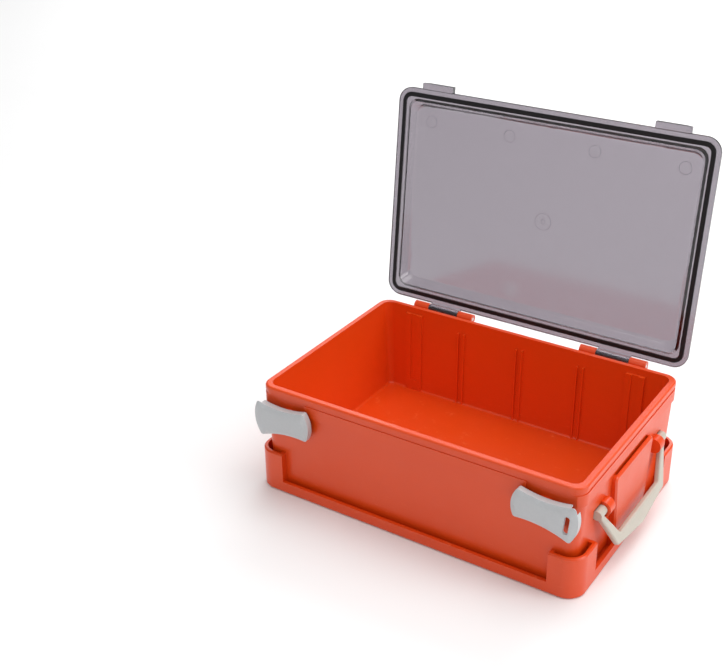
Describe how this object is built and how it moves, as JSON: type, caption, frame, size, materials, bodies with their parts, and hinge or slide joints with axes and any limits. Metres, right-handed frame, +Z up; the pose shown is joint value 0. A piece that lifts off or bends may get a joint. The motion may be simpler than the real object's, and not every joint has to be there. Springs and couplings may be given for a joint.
{
  "type": "first aid kit",
  "caption": "Orange moulded first aid case with a smoke-clear hinged lid standing open, swivel latches at the front and a folding carry handle on the end",
  "frame": {"origin": "on the ground at the middle of the base, where the middle pad under the floor stands", "axes": "+Z up; +X along the long side towards the end with the carry handle; -Y towards the latches, +Y towards the hinges"},
  "size_m": [0.3508, 0.2772, 0.3437],
  "materials": {
    "shell_orange": "injection-moulded ABS, satin gloss",
    "lid_smoke": "smoke-grey clear polycarbonate, polished",
    "seal_black": "soft moulded rubber, matt",
    "pin_steel": "drawn stainless wire",
    "handle_ivory": "nylon, fine grain",
    "latch_grey": "glass-filled nylon, satin",
    "cap_white": "moulded nylon"
  },
  "bodies": {
    "tub": {"tub": "shell_orange", "hinge_pins": "pin_steel"},
    "lid": {"lid": "lid_smoke", "lid_gasket": "seal_black"},
    "carry_handle": {"carry_handle": "handle_ivory"},
    "latch_left": {"latch_left": "latch_grey", "latch_cap_left": "cap_white", "latch_seal_left": "seal_black"},
    "latch_right": {"latch_right": "latch_grey", "latch_cap_right": "cap_white", "latch_seal_right": "seal_black"}
  },
  "joints": [
    {"name": "lid_hinge", "type": "hinge", "parent": "tub", "child": "lid", "pos_m": [0, 0.1165, 0.1105], "axis": [1, 0, 0], "range_deg": [0, 96.4]},
    {"name": "handle_pivot", "type": "hinge", "parent": "tub", "child": "carry_handle", "pos_m": [0.165, 0, 0.066], "axis": [0, -1, 0], "range_deg": [-5.8, 148]},
    {"name": "latch_left_pivot", "type": "hinge", "parent": "tub", "child": "latch_left", "pos_m": [-0.132, -0.1095, 0.0835], "axis": [0, 1, 0], "range_deg": [0, 95]},
    {"name": "latch_right_pivot", "type": "hinge", "parent": "tub", "child": "latch_right", "pos_m": [0.132, -0.1095, 0.0835], "axis": [0, -1, 0], "range_deg": [0, 95]}
  ]
}
